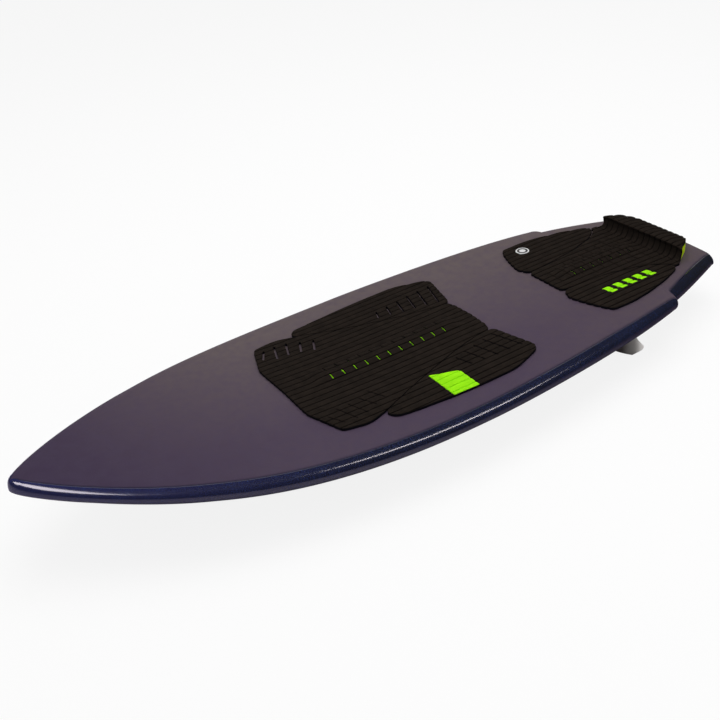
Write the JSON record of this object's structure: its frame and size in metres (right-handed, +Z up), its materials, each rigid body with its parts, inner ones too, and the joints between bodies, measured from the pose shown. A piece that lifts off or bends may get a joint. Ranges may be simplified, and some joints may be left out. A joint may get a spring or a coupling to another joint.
{
  "type": "wakesurf board",
  "caption": "Short directional surf-style board with a winged squash tail, ribbed foam traction pads with a tail kick, and removable fins held in boxes by grub screws.",
  "frame": {"origin": "on the surface under the side fins' tips, at mid length and on the centreline, which is the bottom centre of the part's box", "axes": "+X towards the nose, +Y towards the port rail, +Z up out of the deck"},
  "size_m": [1.4496, 0.533, 0.1685],
  "materials": {
    "core_foam": "white closed-cell foam, sealed inside",
    "stringer_wood": "thin wood strip, sealed inside",
    "deck_paint": "matte grey-purple, finely mottled",
    "hull_gloss": "gloss clear coat over dark blue weave",
    "rail_gloss": "gloss clear coat over dark blue weave",
    "pad_foam": "matte ribbed foam",
    "lime_foam": "matte lime foam",
    "badge_print": "plain pale inlay",
    "box_plastic": "moulded plastic, satin",
    "fin_composite": "translucent grey-white composite",
    "screw_steel": "stainless steel"
  },
  "bodies": {
    "board": {"core_port": "core_foam", "core_starboard": "core_foam", "stringer": "stringer_wood", "deck_skin": "deck_paint", "bottom_skin": "hull_gloss", "rail_port": "rail_gloss", "rail_starboard": "rail_gloss", "tail_rail_port": "rail_gloss", "tail_rail_starboard": "rail_gloss", "nose_cap": "rail_gloss", "tail_cap": "rail_gloss", "front_pad_centre": "pad_foam", "front_pad_port": "pad_foam", "front_pad_starboard": "pad_foam", "front_strip": "lime_foam", "front_pad_tag": "lime_foam", "rear_pad_centre": "pad_foam", "rear_pad_port": "pad_foam", "rear_pad_starboard": "pad_foam", "rear_strip": "lime_foam", "rear_pad_badge": "badge_print", "kick_wedge": "lime_foam", "kick_cap": "pad_foam", "fin_box_port": "box_plastic", "fin_box_starboard": "box_plastic", "fin_box_centre": "box_plastic"},
    "fin_port": {"fin_port": "fin_composite"},
    "screw_port_front": {"screw_port_front": "screw_steel"},
    "screw_port_back": {"screw_port_back": "screw_steel"},
    "fin_starboard": {"fin_starboard": "fin_composite"},
    "screw_starboard_front": {"screw_starboard_front": "screw_steel"},
    "screw_starboard_back": {"screw_starboard_back": "screw_steel"},
    "fin_centre": {"fin_centre": "fin_composite"},
    "screw_centre_front": {"screw_centre_front": "screw_steel"},
    "screw_centre_back": {"screw_centre_back": "screw_steel"}
  },
  "joints": [
    {"name": "fin_port_slide", "type": "slide", "parent": "board", "child": "fin_port", "axis": [-0.0258, 0.0011, -0.9997], "range_m": [0, 0.02]},
    {"name": "screw_port_front_slide", "type": "slide", "parent": "board", "child": "screw_port_front", "axis": [-0.0258, 0.0011, -0.9997], "range_m": [0, 0.005]},
    {"name": "screw_port_back_slide", "type": "slide", "parent": "board", "child": "screw_port_back", "axis": [-0.0258, 0.0011, -0.9997], "range_m": [0, 0.005]},
    {"name": "fin_starboard_slide", "type": "slide", "parent": "board", "child": "fin_starboard", "axis": [-0.0258, -0.0011, -0.9997], "range_m": [0, 0.02]},
    {"name": "screw_starboard_front_slide", "type": "slide", "parent": "board", "child": "screw_starboard_front", "axis": [-0.0258, -0.0011, -0.9997], "range_m": [0, 0.005]},
    {"name": "screw_starboard_back_slide", "type": "slide", "parent": "board", "child": "screw_starboard_back", "axis": [-0.0258, -0.0011, -0.9997], "range_m": [0, 0.005]},
    {"name": "fin_centre_slide", "type": "slide", "parent": "board", "child": "fin_centre", "axis": [-0.0424, 0, -0.9991], "range_m": [0, 0.02]},
    {"name": "screw_centre_front_slide", "type": "slide", "parent": "board", "child": "screw_centre_front", "axis": [-0.0424, 0, -0.9991], "range_m": [0, 0.005]},
    {"name": "screw_centre_back_slide", "type": "slide", "parent": "board", "child": "screw_centre_back", "axis": [-0.0424, 0, -0.9991], "range_m": [0, 0.005]}
  ]
}
